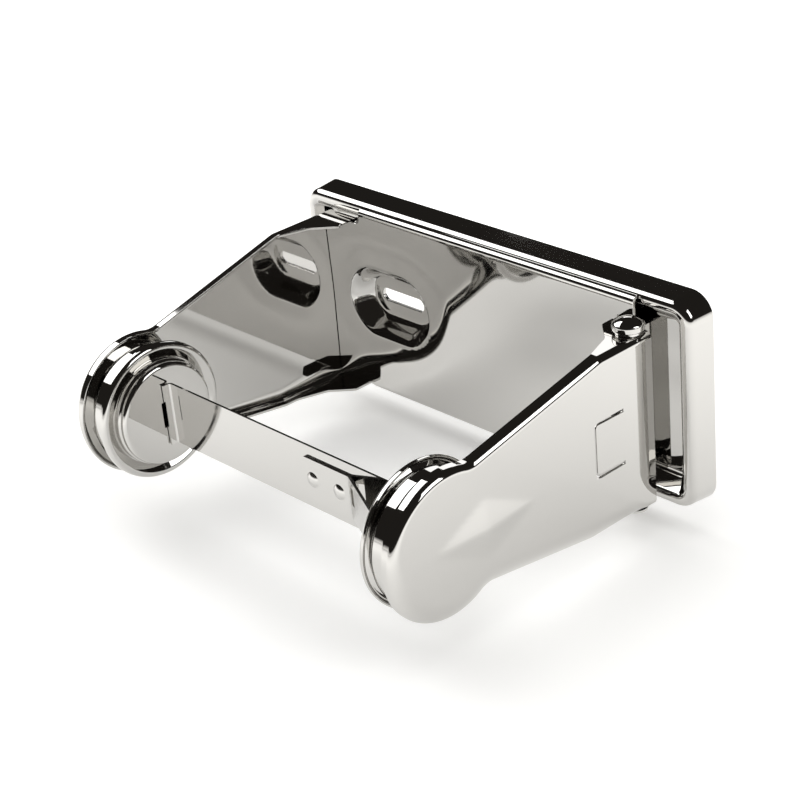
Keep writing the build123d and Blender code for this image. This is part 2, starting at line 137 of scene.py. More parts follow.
WEB_GAUGE = 1.2
WEB_FRONT = -13.0
WEB_BEND = 2.0
WEB_HOLLOW = 0.5
WEB_FLANGE = 2.6
WEB_FULL_LEFT = -56.0
WEB_RIGHT = 66.0
WEB_STRIP_RIGHT = 67.0
WEB_SPACING = 1.1
WEB_SLOPE_STEP = 0.02
DISH_CORE = 6.8
DISH_MOUTH = 14.0
DISH_FLOOR = 6.4
DISH_DEPTH = 7.6
HOLLOW_MOUTH = 27.0
HOLLOW_DEPTH = 1.1
ROUND_MOUTH = 10.2
ROUND_FLOOR = 4.4
SEAM_GAP = 0.35
LUG_ROOT = 60.4
LUG_ROOT_RIGHT = 64.5
LUG_GAP = 0.3
LUG_SLIT = 2.4
LUG_RADIUS = 3.6
LUG_HIP = 1
LUG_ROUNDING = 0.95
LUG_SPACING = 2
END_BEND = 0.9
END_BEND_STEPS = 7
END_WALL_STEPS = 5
END_CLEAR = 2.2
END_GAP = 0.2
END_SETBACK = 0.03
END_OVERLAP = 0.1

ARM_GAUGE = 1.0
ARM_OUTER = 75.2
ARM_DEPTH = 4.2
ARM_BEND = 2.2
ARM_SOFT_WIDTH = 7.0
ARM_SOFT_DROP = 3.4
ARM_SOFT_MIDDLE = 0.5
ARM_SOFT_SLOPE = 0.75
ARM_SOFT_REACH = 14
ARM_BEND_STEPS = 12
ARM_WALL_SHARES = (0.35, 0.7, 1.0)
ARM_SPACING = 1.3
ARM_SLOPE_STEP = 0.01
STEEPEST_SLOPE = 1
ARM_SHOULDER = -37.0
ARM_NECK = -95.0
ARM_NECK_TOP = 14.1
ARM_BELLY = -42.0
ARM_WAIST = -92.0
ARM_WAIST_BOTTOM = -26.7
ARM_OUTLINE_BEND = 9.0
HUB_RADIUS = 24.0
EAR_HIP_Y = -26.0
EAR_TIP_Y = -19.0
EAR_HIP = 8.0
EAR_REACH = 15.4
DIAMOND_Y = -88.0
DIAMOND_LENGTH = 20.4
DIAMOND_HEIGHT = 10.0
DIAMOND_RISE = 1.5
DIAMOND_RIDGE = 0.7
DIAMOND_FOOT = 0.07
DIAMOND_TRIM = 0.3
TAB_FRONT = -41.2
TAB_ROOT = -28.0
TAB_TOP = 5.8
TAB_BOTTOM = -13.2
TAB_SLIT = 1.2
TAB_PRESS = 0.5
TAB_CURVE = 1.5
TAB_CORNER = 2.4
TAB_SPACING = 1.0

HUB_GAUGE = 0.8
HUB_STEPS = 160
HUB_SPACING = 0.8
# Centrelines of the right hub's rings and cup: places in X and radii.
COLLAR_PROFILE = [(74.2, 18.6), (70.0, 18.6), (68.6, 21.0), (63.2, 21.0), (63.2, 9.0)]
COLLAR_BEND = 1.3
FLANGE_PROFILE = [(62.5, 22.8), (59.9, 22.8), (62.4, 18.5), (62.4, 9.0)]
FLANGE_BEND = 1.1
CUP_PROFILE = [(62.0, 17.7), (59.8, 17.7), (59.2, 17.1), (57.4, 17.1), (57.4, 12.0)]
CUP_BENDS = (0, 0.5, 0.5, 1.0, 0)
CUP_SPACING = 1.6
# The bar's slots in the cups' faces: front and back in Y, half the height, and the corners.
SLOT_PIVOT = (-99.9, -98.5, 6.1)
SLOT_LATCH = (-103.2, -98.5, 4.5)
BAR_SLOT_CORNER = 0.3

# Rivet heads: a crown's radius and half angle, a shoulder's radius and depth.
TALL_HEAD = 3.9
TALL_CROWN = (7.4, 0.63)
TALL_CREASE = 0.28
TALL_SHOULDER = (1.2, 2.3)
TALL_HEM = 0.5
LOW_HEAD = 1.0
LOW_CROWN = (9.0, 0.36)
LOW_CREASE = 0.09
LOW_RIM = 0.2
CROWN_STEPS = 12
BEND_STEPS = 7
RIVET_SHANK = 2.0
RIVET_TAIL = 3.0
RIVET_TAIL_LENGTH = 1
RIVET_AXIS = 0.02
RIVET_STEPS = 96


def make_camera():
    """A long lens looking down on the holder's right front."""
    azimuth = radians(CAMERA_AZIMUTH)
    elevation = radians(CAMERA_ELEVATION)
    roll = radians(CAMERA_ROLL)
    flat = cos(elevation)
    forward = Vector((-sin(azimuth) * flat, cos(azimuth) * flat, -sin(elevation)))
    level = Vector((cos(azimuth), sin(azimuth), 0))
    up = level.cross(forward)
    right = cos(roll) * level + sin(roll) * up
    up = cos(roll) * up - sin(roll) * level
    data = bpy.data.cameras.new("camera")
    data.lens = CAMERA_LENS
    data.sensor_width = CAMERA_SENSOR
    data.clip_start = CAMERA_NEAR
    camera = bpy.data.objects.new("camera", data)
    bpy.context.scene.collection.objects.link(camera)
    turn = Matrix((right, up, -forward)).transposed().to_4x4()
    camera.matrix_world = Matrix.Translation(CAMERA_PLACE) @ turn
    bpy.context.scene.camera = camera


def add_softbox(name, centre, direction, distance, size, power):
    """A rectangular soft light that faces the object."""
    data = bpy.data.lights.new(name, "AREA")
    data.shape = "RECTANGLE"
    data.size, data.size_y = size
    data.energy = power
    light = bpy.data.objects.new(name, data)
    bpy.context.scene.collection.objects.link(light)
    away = Vector(direction).normalized()
    light.location = centre + distance * away
    light.rotation_mode = "QUATERNION"
    light.rotation_quaternion = away.to_track_quat("Z", "Y")
    light.visible_camera = False
    return light


def make_studio():
    """White below the horizon, dark above it, a few soft lights and the floor."""
    world = bpy.data.worlds.new("studio")
    bpy.context.scene.world = world
    world.use_nodes = True
    nodes, links = world.node_tree.nodes, world.node_tree.links
    nodes.clear()
    place = nodes.new("ShaderNodeTexCoord")
    axes = nodes.new("ShaderNodeSeparateXYZ")
    ramp = nodes.new("ShaderNodeValToRGB")
    shade = nodes.new("ShaderNodeBackground")
    out = nodes.new("ShaderNodeOutputWorld")
    # The ramp runs from straight down at 0 to straight up at 1.
    half = nodes.new("ShaderNodeMath")
    half.operation = "MULTIPLY_ADD"
    half.inputs[1].default_value = 0.5
    half.inputs[2].default_value = 0.5
    links.new(place.outputs["Generated"], axes.inputs[0])
    links.new(axes.outputs["Z"], half.inputs[0])
    links.new(half.outputs[0], ramp.inputs[0])
    stops = ramp.color_ramp.elements
    stops[0].position, stops[0].color = HORIZON_END, HORIZON_GLOW
    stops[1].position, stops[1].color = STUDIO_DARK_START, STUDIO_DARK
    links.new(ramp.outputs[0], shade.inputs["Color"])
    links.new(shade.outputs[0], out.inputs[0])

    centre = (cad_box[0] + cad_box[1]) / 2
    add_softbox("softbox_left", centre, *SOFTBOX_LEFT)
    add_softbox("softbox_right", centre, *SOFTBOX_RIGHT)
    add_softbox("canopy", centre, *CANOPY).visible_glossy = False
    add_softbox("paper_sweep", centre, *PAPER_SWEEP)
    add_floor(centre)


def add_floor(centre):
    """Pale paper under the object, which glows more the further it is from the object: a painted
    shadow round the object.
    """
    mesh = bpy.data.meshes.new("floor")
    z = cad_box[0].z - FLOOR_GAP
    signs = ((-1, -1), (1, -1), (1, 1), (-1, 1))
    corners = [(x * FLOOR_HALF, y * FLOOR_HALF, z) for x, y in signs]
    mesh.from_pydata(corners, [], [(0, 1, 2, 3)])
    floor = bpy.data.objects.new("floor", mesh)
    bpy.context.scene.collection.objects.link(floor)
    paper = bpy.data.materials.new("floor_paper")
    paper.use_nodes = True
    shader = paper.node_tree.nodes["Principled BSDF"]
    shader.inputs["Base Color"].default_value = FLOOR_COLOUR
    shader.inputs["Roughness"].default_value = 1.0
    shader.inputs["Specular IOR Level"].default_value = 0.0
    shader.inputs["Emission Color"].default_value = FLOOR_GLOW_COLOUR
    nodes, links = paper.node_tree.nodes, paper.node_tree.links
    here = nodes.new("ShaderNodeTexCoord")
    away = nodes.new("ShaderNodeVectorMath")
    away.operation = "DISTANCE"
    away.inputs[1].default_value = (centre.x, centre.y, z)
    # Painted shadow: the floor's glow is turned down near the object.
    shade_fade = nodes.new("ShaderNodeMapRange")
    shade_fade.interpolation_type = "SMOOTHSTEP"
    shade_fade.inputs["From Min"].default_value, shade_fade.inputs["From Max"].default_value = FLOOR_SHADE_REACH
    shade_fade.inputs["To Min"].default_value, shade_fade.inputs["To Max"].default_value = FLOOR_GLOW_AND_SHADE
    links.new(here.outputs["Object"], away.inputs[0])
    links.new(away.outputs["Value"], shade_fade.inputs["Value"])
    links.new(shade_fade.outputs["Result"], shader.inputs["Emission Strength"])
    mesh.materials.append(paper)


def metal(name, colour, rough, wave, grain=0.0):
    """Plated metal: faint pressing waves, fine polish marks and a little smudging in its gloss."""
    material = bpy.data.materials.new(name)
    material.use_nodes = True
    nodes, links = material.node_tree.nodes, material.node_tree.links
    shader = nodes["Principled BSDF"]
    shader.inputs["Base Color"].default_value = colour
    shader.inputs["Metallic"].default_value = 1.0
    place = nodes.new("ShaderNodeTexCoord")

    smudge = nodes.new("ShaderNodeTexNoise")
    smudge.inputs["Scale"].default_value = SMUDGE_SCALE
    smudge.inputs["Detail"].default_value = SMUDGE_DETAIL
    gloss = nodes.new("ShaderNodeMapRange")
    gloss.inputs["To Min"].default_value = rough * GLOSS_RANGE[0]
    gloss.inputs["To Max"].default_value = rough * GLOSS_RANGE[1]
    links.new(place.outputs["Object"], smudge.inputs["Vector"])
    links.new(smudge.outputs["Fac"], gloss.inputs["Value"])
    links.new(gloss.outputs["Result"], shader.inputs["Roughness"])

    pressing = nodes.new("ShaderNodeTexNoise")
    pressing.inputs["Scale"].default_value = WAVE_SCALE
    pressing.inputs["Detail"].default_value = WAVE_DETAIL
    waves = nodes.new("ShaderNodeBump")
    waves.inputs["Strength"].default_value = wave
    waves.inputs["Distance"].default_value = WAVE_HEIGHT
    links.new(place.outputs["Object"], pressing.inputs["Vector"])
    links.new(pressing.outputs["Fac"], waves.inputs["Height"])
    last = waves
    if grain:
        stretch = nodes.new("ShaderNodeMapping")
        stretch.inputs["Scale"].default_value = BRUSH_SCALE
        lines = nodes.new("ShaderNodeTexNoise")
        lines.inputs["Scale"].default_value = 1
        brush = nodes.new("ShaderNodeBump")
        brush.inputs["Strength"].default_value = grain
        brush.inputs["Distance"].default_value = BRUSH_HEIGHT
        links.new(place.outputs["Object"], stretch.inputs["Vector"])
        links.new(stretch.outputs[0], lines.inputs["Vector"])
        links.new(lines.outputs["Fac"], brush.inputs["Height"])
        links.new(waves.outputs["Normal"], brush.inputs["Normal"])
        last = brush
    links.new(last.outputs["Normal"], shader.inputs["Normal"])
    return material


# ---- Mesh tools. Pieces are drawn in millimetres, from the frame's own boxes ----
def box_mm(node):
    """A CAD node's lowest and highest corner, in millimetres."""
    low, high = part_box(node)
    return np.array(low) / MM, np.array(high) / MM


def unit(vectors):
    """The vectors, each scaled to a length of 1."""
    return vectors / np.linalg.norm(vectors, axis=-1, keepdims=True)


def line(start, end, spacing=SPACING):
    """Points from start up to, but not including, end, and the normal on the line's left."""
    start, end = np.array(start, float), np.array(end, float)
    count = max(1, round(np.linalg.norm(end - start) / spacing))
    share = np.arange(count)[:, None] / count
    along = unit(end - start)
    normals = np.repeat([[-along[1], along[0]]], count, axis=0)
    return start + share * (end - start), normals


def arc(centre, radius, start, end, spacing=ARC_SPACING):
    """Arc from one angle up to another, in radians; normals on the travel's left."""
    sweep = abs(end - start)
    count = max(LEAST_ARC_STEPS, int(sweep / ARC_STEP), round(sweep * radius / spacing))
    angles = start + (end - start) * np.arange(count) / count
    radial = np.stack([np.cos(angles), np.sin(angles)], axis=1)
    left = -1 if end > start else 1
    return np.array(centre) + radius * radial, left * radial


def rounded(corners, radii, closed, spacing=SPACING):
    """Polyline with rounded corners; returns its points and the normals on its left."""
    corners = [np.array(c, float) for c in corners]
    count = len(corners)
    radii = list(radii) if hasattr(radii, "__len__") else [radii] * count
    turns = range(count) if closed else range(1, count - 1)
    bends = {}
    for i in turns:
        before = unit(corners[i] - corners[i - 1])
        after = unit(corners[(i + 1) % count] - corners[i])
        turn = np.arctan2(before[0] * after[1] - before[1] * after[0], before @ after)
        reach = radii[i] * np.tan(abs(turn) / 2)
        hand = 1 if turn > 0 else -1
        entry = corners[i] - reach * before
        centre = entry + hand * radii[i] * np.array([-before[1], before[0]])
        angle = np.arctan2(*(entry - centre)[::-1])
        bends[i] = (entry, corners[i] + reach * after, centre, radii[i], angle, angle + turn)
    pieces = []
    for i in range(count if closed else count - 1):
        j = (i + 1) % count
        if i in bends and bends[i][3] > 0:
            pieces.append(arc(*bends[i][2:]))
        start = bends[i][1] if i in bends else corners[i]
        end = bends[j][0] if j in bends else corners[j]
        pieces.append(line(start, end, spacing))
    if not closed:
        pieces.append((corners[-1][None], pieces[-1][1][-1:]))
    return np.concatenate([p for p, _ in pieces]), np.concatenate([n for _, n in pieces])


def inside(points, loops):
    """Whether each point lies within the first loop and outside the others."""
    odd = np.zeros(len(points), bool)
    for loop in loops:
        following = np.roll(loop, -1, axis=0)
        for (ax, ay), (bx, by) in zip(loop, following):
            if ay == by:
                continue
            level = (ay > points[:, 1]) != (by > points[:, 1])
            odd ^= level & (points[:, 0] < ax + (points[:, 1] - ay) * (bx - ax) / (by - ay))
    return odd


def fill(loops, spacing):
    """Even triangles between loops. Returns points, faces and where the first loop's points are."""
    rims = np.concatenate(loops)
    low, high = rims.min(0), rims.max(0)
    columns = np.arange(low[0] + spacing / 2, high[0], spacing)
    rows = np.arange(low[1] + spacing / 2, high[1], spacing)
    grid = np.stack(np.meshgrid(columns, rows), -1).reshape(-1, 2)
    grid = grid[inside(grid, loops)]
    nearest = np.array([np.min(np.sum((rims - g) ** 2, axis=1)) for g in grid])
    grid = grid[nearest > (RIM_CLEARANCE * spacing) ** 2]
    edges, first = [], 0
    for loop in loops:
        size = len(loop)
        edges += [(first + i, first + (i + 1) % size) for i in range(size)]
        first += size
    seeds = [Vector(p) for p in np.concatenate([rims, grid])]
    verts, _, faces, origin, _, _ = geometry.delaunay_2d_cdt(seeds, edges, [], 0, SAME_PLACE)
    points = np.array([tuple(v) for v in verts])
    middles = points[np.array(faces)].mean(1)
    kept = [list(f) for f, ok in zip(faces, inside(middles, loops)) if ok]
    where = {i: out for out, sources in enumerate(origin) for i in sources}
    return points, kept, [where[i] for i in range(len(loops[0]))]


def grid_faces(rows, columns, around=False):
    """Quads of a grid of points, row after row, closed round the columns if asked."""
    faces = []
    for r in range(rows - 1):
        for c in range(columns if around else columns - 1):
            d = (c + 1) % columns
            a, b = r * columns, (r + 1) * columns
            faces.append([a + c, a + d, b + d, b + c])
    return faces


def facing(points, normals, faces):
    """The same faces, each wound so that it looks the way its corners' normals do."""
    turned = []
    for face in faces:
        p = points[face]
        out = np.cross(p[1] - p[0], p[2] - p[0])
        if len(face) == 4:
            out = out + np.cross(p[2] - p[0], p[3] - p[0])
        turned.append(face if out @ normals[face].sum(0) >= 0 else face[::-1])
    return turned


def patched(skin, first, rim, patch):
    """A skin with a filled patch joined on. Both are (points, normals, faces), and the patch's
    rim points are the skin's own points from first on."""
    (points, normals, faces), (patch_points, patch_normals, patch_faces) = skin, patch
    where = {out: first + i for i, out in enumerate(rim)}
    fresh = [i for i in range(len(patch_points)) if i not in where]
    where.update({i: len(points) + n for n, i in enumerate(fresh)})
    return (np.concatenate([points, patch_points[fresh]]),
            np.concatenate([normals, patch_normals[fresh]]),
            faces + [[where[i] for i in face] for face in patch_faces])


def thicken(points, normals, faces, gauge):
    """Gives a skin the sheet's gauge: a back skin, and a slightly rounded edge between them."""
    normals = unit(normals)
    faces = facing(points, normals, faces)
    back = points - gauge * normals
    sides = {}
    for face in faces:
        for a, b in zip(face, face[1:] + face[:1]):
            sides.setdefault(frozenset((a, b)), []).append((a, b))
    open_edges = [found[0] for found in sides.values() if len(found) == 1]
    outward = np.zeros_like(points)
    for a, b in open_edges:
        out = unit(np.cross(points[b] - points[a], normals[a] + normals[b]))
        outward[a] += out
        outward[b] += out
    rim = sorted({i for edge in open_edges for i in edge})
    place = {i: n for n, i in enumerate(rim)}
    out = unit(outward[rim])
    count, width = len(points), len(rim)
    middle = (points[rim] + back[rim]) / 2 + EDGE_SWELL * gauge * out
    verts = np.concatenate([points, back, points[rim], middle, back[rim]])
    lean = EDGE_LEAN * normals[rim]
    shading = np.concatenate([normals, -normals, unit(out + lean), out, unit(out - lean)])
    walls = []
    for a, b in open_edges:
        i, j = 2 * count + place[a], 2 * count + place[b]
        walls.append([i, i + width, j + width, j])
        walls.append([i + width, i + 2 * width, j + 2 * width, j + width])
    backs = [[count + i for i in face[::-1]] for face in faces]
    return verts, shading, faces + backs + walls


def build(name, shells, side=1):
    """One object from several shells of (points, normals, faces), mirrored in X for side -1."""
    verts, shading, faces = [], [], []
    for points, normals, shell_faces in shells:
        first = sum(len(v) for v in verts)
        verts.append(points)
        shading.append(normals)
        faces += [[first + i for i in face] for face in shell_faces]
    verts, shading = np.concatenate(verts) * MM, unit(np.concatenate(shading))
    if side < 0:
        verts[:, 0] *= -1
        shading[:, 0] *= -1
        faces = [face[::-1] for face in faces]
    mesh = bpy.data.meshes.new(name)
    mesh.from_pydata([tuple(v) for v in verts], [], faces)
    mesh.polygons.foreach_set("use_smooth", [True] * len(faces))
    mesh.normals_split_custom_set_from_vertices([tuple(n) for n in shading])
    piece = bpy.data.objects.new(name, mesh)
    bpy.context.scene.collection.objects.link(piece)
    return piece


def stand_for(piece, node):
    """The piece replaces a CAD node, on that node's body and in its material slot."""
    part = next(p for p in frame["record"]["subparts"] if p["node"] == node)
    bodies = frame["record"]["behaviour"]["bodies"]
    piece.data.materials.append(finishes[part["material_slot"]])
    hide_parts(node)
    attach(piece, next(body for body, nodes in bodies.items() if node in nodes))


# ---- Wall plate ----
def rounded_box(half_width, half_height, radius):
    """Loop of a rounded rectangle in X and Z, with its outward normals."""
    w, h = half_width, half_height
    pieces = []
    quarter = np.arange(PLATE_CORNER_STEPS) / PLATE_CORNER_STEPS * pi / 2
    legs = [((-w + radius, h), (w - radius, h), (0, 1), PLATE_LONG_STEPS),
            ((w, h - radius), (w, -h + radius), (1, 0), PLATE_SHORT_STEPS),
            ((w - radius, -h), (-w + radius, -h), (0, -1), PLATE_LONG_STEPS),
            ((-w, -h + radius), (-w, h - radius), (-1, 0), PLATE_SHORT_STEPS)]
    for start, end, out, steps in legs:
        share = np.arange(steps)[:, None] / steps
        points = np.array(start) + share * (np.array(end) - np.array(start))
        pieces.append((points, np.repeat([out], len(points), axis=0)))
        angles = np.arctan2(out[1], out[0]) - quarter
        radial = np.stack([np.cos(angles), np.sin(angles)], axis=1)
        centre = np.array(end) - radius * np.array(out)
        pieces.append((centre + radius * radial, radial))
    points, normals = zip(*pieces)
    return np.concatenate(points), np.concatenate(normals).astype(float)


def slot_loop(centre_x, length, width):
    """Loop of a slot along X, with round ends."""
    radius = width / 2
    half = length / 2 - radius
    right = arc((centre_x + half, 0), radius, -pi / 2, pi / 2, SLOT_SPACING)[0]
    left = arc((centre_x - half, 0), radius, pi / 2, 3 * pi / 2, SLOT_SPACING)[0]
    upper = line((centre_x + half, radius), (centre_x - half, radius))[0]
    lower = line((centre_x - half, -radius), (centre_x + half, -radius))[0]
    return np.concatenate([right, upper, left, lower])


def screw_openings():
    """The left slot's loop and the right round hole's."""
    slot = slot_loop(SLOT_X, SLOT_LENGTH, SLOT_WIDTH)
    return slot, slot_loop(HOLE_X, SLOT_WIDTH + HOLE_STRETCH, SLOT_WIDTH)


def make_plate():
    """Tray pressed from one sheet: a raised, rounded rim round a flat, pierced floor."""
    low, high = box_mm("wall_plate")
    half_width, half_height, depth = high[0], high[2], -low[1]
    corners = [(0, RIM_START), (RIM_DRAFT, depth), (RIM_TOP, depth),
               (RIM_FOOT, PLATE_FLOOR), (FLOOR_START, PLATE_FLOOR)]
    profile, lean = rounded(corners, (0, RIM_OUTER_BEND, RIM_INNER_BEND, RIM_FOOT_BEND, 0), False)
    points, normals = [], []
    for (inset, out), (lean_in, lean_out) in zip(profile, lean):
        radius = max(PLATE_CORNER - inset, LEAST_CORNER)
        loop, away = rounded_box(half_width - inset, half_height - inset, radius)
        level, tilt = np.full(len(loop), -out), np.full(len(loop), -lean_out)
        points.append(np.stack([loop[:, 0], level, loop[:, 1]], axis=1))
        normals.append(np.stack([-lean_in * away[:, 0], tilt, -lean_in * away[:, 1]], axis=1))
    columns = len(points[0])
    faces = grid_faces(len(points), columns, around=True)
    inner = points[-1][:, [0, 2]]
    floor, floor_faces, rim = fill([inner, *screw_openings()], PLATE_SPACING)
    first = (len(points) - 1) * columns
    rim_skin = (np.concatenate(points), np.concatenate(normals), faces)
    places = np.stack([floor[:, 0], np.full(len(floor), -PLATE_FLOOR), floor[:, 1]], axis=1)
    leans = np.repeat([[0, -1, 0]], len(floor), axis=0)
    tray = patched(rim_skin, first, rim, (places, leans, floor_faces))
    plate = build("wall_plate_pressing", [thicken(*tray, PLATE_GAUGE)])
    stand_for(plate, "wall_plate")


# ---- Bracket ----
def smooth(value):
    """Quintic step from 0 to 1."""
    v = np.clip(value, 0, 1)
    return v * v * v * (v * (6 * v - 15) + 10)


def dish_depth(x, z):
    """How far the web is pressed back at a place: a steep dish inside a wide, shallow hollow."""
    along = np.clip(x - SLOT_X, -DISH_CORE, DISH_CORE)
    away = np.hypot(x - SLOT_X - along, z)
    steep = smooth((DISH_MOUTH - away) / (DISH_MOUTH - DISH_FLOOR))
    wide = smooth((HOLLOW_MOUTH - away) / (HOLLOW_MOUTH - DISH_FLOOR))
    right = smooth((ROUND_MOUTH - np.hypot(x - HOLE_X, z)) / (ROUND_MOUTH - ROUND_FLOOR))
    return (DISH_DEPTH - HOLLOW_DEPTH) * steep + HOLLOW_DEPTH * wide + DISH_DEPTH * right


def web_surface(x, s, front, half_height):
    """Point of the web for a place along X and a length up the sheet, round its long bends."""
    flat = half_height - WEB_BEND
    turn = np.clip((np.abs(s) - flat) / WEB_BEND, 0, pi / 2)
    past = np.maximum(np.abs(s) - flat - WEB_BEND * pi / 2, 0)
    z = np.sign(s) * (np.minimum(np.abs(s), flat) + WEB_BEND * np.sin(turn))
    y = front + WEB_BEND * (1 - np.cos(turn)) + past
    hollow = WEB_HOLLOW * (1 - (z / flat) ** 2)
    return np.stack([x, y + (dish_depth(x, z) + hollow) * (turn == 0), z], axis=-1)


def make_end_wall(front, bottom, top):
    """The web's right end, turned back to the plate between the lugs."""
    levels = np.arange(bottom, top, WEB_SPACING)
    turn = np.linspace(0, pi / 2, END_BEND_STEPS)
    columns = END_BEND_STEPS + END_WALL_STEPS
    rows, leans = [], []
    for z in np.append(levels, top):
        start = front + dish_depth(WEB_RIGHT - END_BEND, z) + END_SETBACK
        x = WEB_RIGHT - END_BEND * (1 - np.sin(turn))
        y = start + END_BEND * (1 - np.cos(turn))
        x = np.append(x, np.full(END_WALL_STEPS, x[-1]))
        y = np.append(y, np.linspace(y[-1], -PLATE_FLOOR - END_GAP, END_WALL_STEPS + 1)[1:])
        rows.append(np.column_stack([x, y, np.full(columns, z)]))
        lean = np.column_stack([np.sin(turn), -np.cos(turn), np.zeros(END_BEND_STEPS)])
        leans.append(np.concatenate([lean, np.repeat([[1.0, 0.0, 0.0]], END_WALL_STEPS, axis=0)]))
    points, normals = np.concatenate(rows), np.concatenate(leans)
    return thicken(points, normals, grid_faces(len(rows), columns), WEB_GAUGE)


def make_lug(level, out, front):
    """Flat lug turned forwards from the web, for one of the hinge's rivets."""
    washer = box_mm("upper_hinge_washer")
    x, y = ((washer[0] + washer[1]) / 2)[:2]
    corners = [(LUG_ROOT, front + WEB_GAUGE), (LUG_ROOT, front - LUG_RADIUS),
               (x - LUG_HIP, y - LUG_RADIUS), (x + LUG_RADIUS, y - LUG_RADIUS),
               (x + LUG_RADIUS, y + LUG_HIP), (LUG_ROOT_RIGHT, front),
               (LUG_ROOT_RIGHT, front + WEB_GAUGE)]
    radii = (0, 1, 0.5, LUG_RADIUS * LUG_ROUNDING, 0.8, 0.3, 0)
    lug, faces, _ = fill([rounded(corners, radii, True)[0]], LUG_SPACING)
    points = np.stack([lug[:, 0], lug[:, 1], np.full(len(lug), level)], axis=1)
    normals = np.repeat([[0.0, 0.0, out]], len(lug), axis=0)
    return thicken(points, normals, faces, WEB_GAUGE)


def make_bracket():
    """Web with turned-back edges, pressed dishes and a bent end, and the hinge's two lugs."""
    low, high = box_mm("bracket")
    half_height, front = high[2], WEB_FRONT
    reach = half_height - WEB_BEND + WEB_BEND * pi / 2 + (WEB_FLANGE - WEB_BEND)
    right_arm, left_arm = box_mm("right_arm"), box_mm("left_arm")
    lug_top = right_arm[1][2] - ARM_GAUGE - LUG_GAP
    lug_bottom = right_arm[0][2] + ARM_GAUGE + LUG_GAP
    left = low[0] + SEAM_GAP
    left_top = left_arm[1][2] - ARM_GAUGE
    left_bottom = left_arm[0][2] + ARM_GAUGE
    web_end = WEB_RIGHT - END_BEND + END_OVERLAP
    # Each corner's place along X, length up the sheet, and radius.
    corners = [(LUG_ROOT, -reach, 0), (LUG_ROOT, lug_bottom, 0.5), (web_end, lug_bottom, 0.8),
               (web_end, lug_top, 0.8), (LUG_ROOT, lug_top, 0.5),
               (LUG_ROOT, lug_top + LUG_SLIT, 0.5), (WEB_STRIP_RIGHT, lug_top + LUG_SLIT, 0.8),
               (WEB_STRIP_RIGHT, reach, 0.8), (WEB_FULL_LEFT, reach, 1.5),
               (WEB_FULL_LEFT, left_top, 2.0), (left, left_top, 1.0), (left, left_bottom, 1.0),
               (WEB_FULL_LEFT, left_bottom, 2.0), (WEB_FULL_LEFT, -reach, 1.5)]
    radii = [radius for _, _, radius in corners]
    outline = rounded([(x, s) for x, s, _ in corners], radii, True)[0]
    flat, faces, _ = fill([outline, *screw_openings()], WEB_SPACING)
    x, s = flat[:, 0], flat[:, 1]

    def web_at(x, s):
        """The web's point for a place along X and a length up the sheet."""
        return web_surface(x, s, front, half_height)

    step = WEB_SLOPE_STEP
    across = web_at(x + step, s) - web_at(x - step, s)
    up = web_at(x, s + step) - web_at(x, s - step)
    web = thicken(web_at(x, s), np.cross(across, up), faces, WEB_GAUGE)
    end_wall = make_end_wall(front, lug_bottom + END_CLEAR, lug_top - END_CLEAR)
    lugs = [make_lug(lug_top, 1, front), make_lug(lug_bottom, -1, front)]
    stand_for(build("bracket_pressing", [web, end_wall, *lugs]), "bracket")


# ---- Arms ----
def blend_to_hub(start, end, hub):
    """Outward blend arc from a straight edge, start to end, on to the hub's circle.
    Returns where the edge ends, the blend's centre, and its angles at both ends."""
    along = unit(end - start)
    out = np.array([-along[1], along[0]])
    if out @ (start - hub) < 0:
        out = -out
    base = start + ARM_OUTLINE_BEND * out - hub
    reach = HUB_RADIUS + ARM_OUTLINE_BEND
    travel = -(base @ along) - np.sqrt((base @ along) ** 2 - base @ base + reach**2)
    centre = hub + base + travel * along
    foot = start + travel * along
    first = np.arctan2(*(foot - centre)[::-1])
    last = np.arctan2(*(hub - centre)[::-1])
    return foot, centre, first, last


def arm_path(rear, top, bottom, hub):
    """The arm's silhouette in Y and Z, from its top rear corner round the hub to its bottom one."""
    shoulder, neck = np.array([ARM_SHOULDER, top]), np.array([ARM_NECK, ARM_NECK_TOP])
    belly, waist = np.array([ARM_BELLY, bottom]), np.array([ARM_WAIST, ARM_WAIST_BOTTOM])
    upper = blend_to_hub(shoulder, neck, hub)
    lower = blend_to_hub(belly, waist, hub)
    top_edge = rounded([(rear, top), shoulder, upper[0]], ARM_OUTLINE_BEND, False)
    bottom_edge = rounded([lower[0], belly, (rear, bottom)], ARM_OUTLINE_BEND, False)
    first = np.arctan2(*(upper[1] - hub)[::-1])
    last = np.arctan2(*(lower[1] - hub)[::-1]) % (2 * pi)
    turn_in = arc(upper[1], ARM_OUTLINE_BEND, upper[2], upper[2] + wrap(upper[3] - upper[2]))
    nose = arc(hub, HUB_RADIUS, first, last, SPACING)
    turn_out = arc(lower[1], ARM_OUTLINE_BEND, lower[3], lower[3] + wrap(lower[2] - lower[3]))
    legs = [(top_edge[0][:-1], top_edge[1][:-1]), turn_in, nose, turn_out, bottom_edge]
    path = np.concatenate([p for p, _ in legs])
    return path, -np.concatenate([n for _, n in legs])


def wrap(angle):
    """The same angle, between minus pi and pi."""
    return (angle + pi) % (2 * pi) - pi


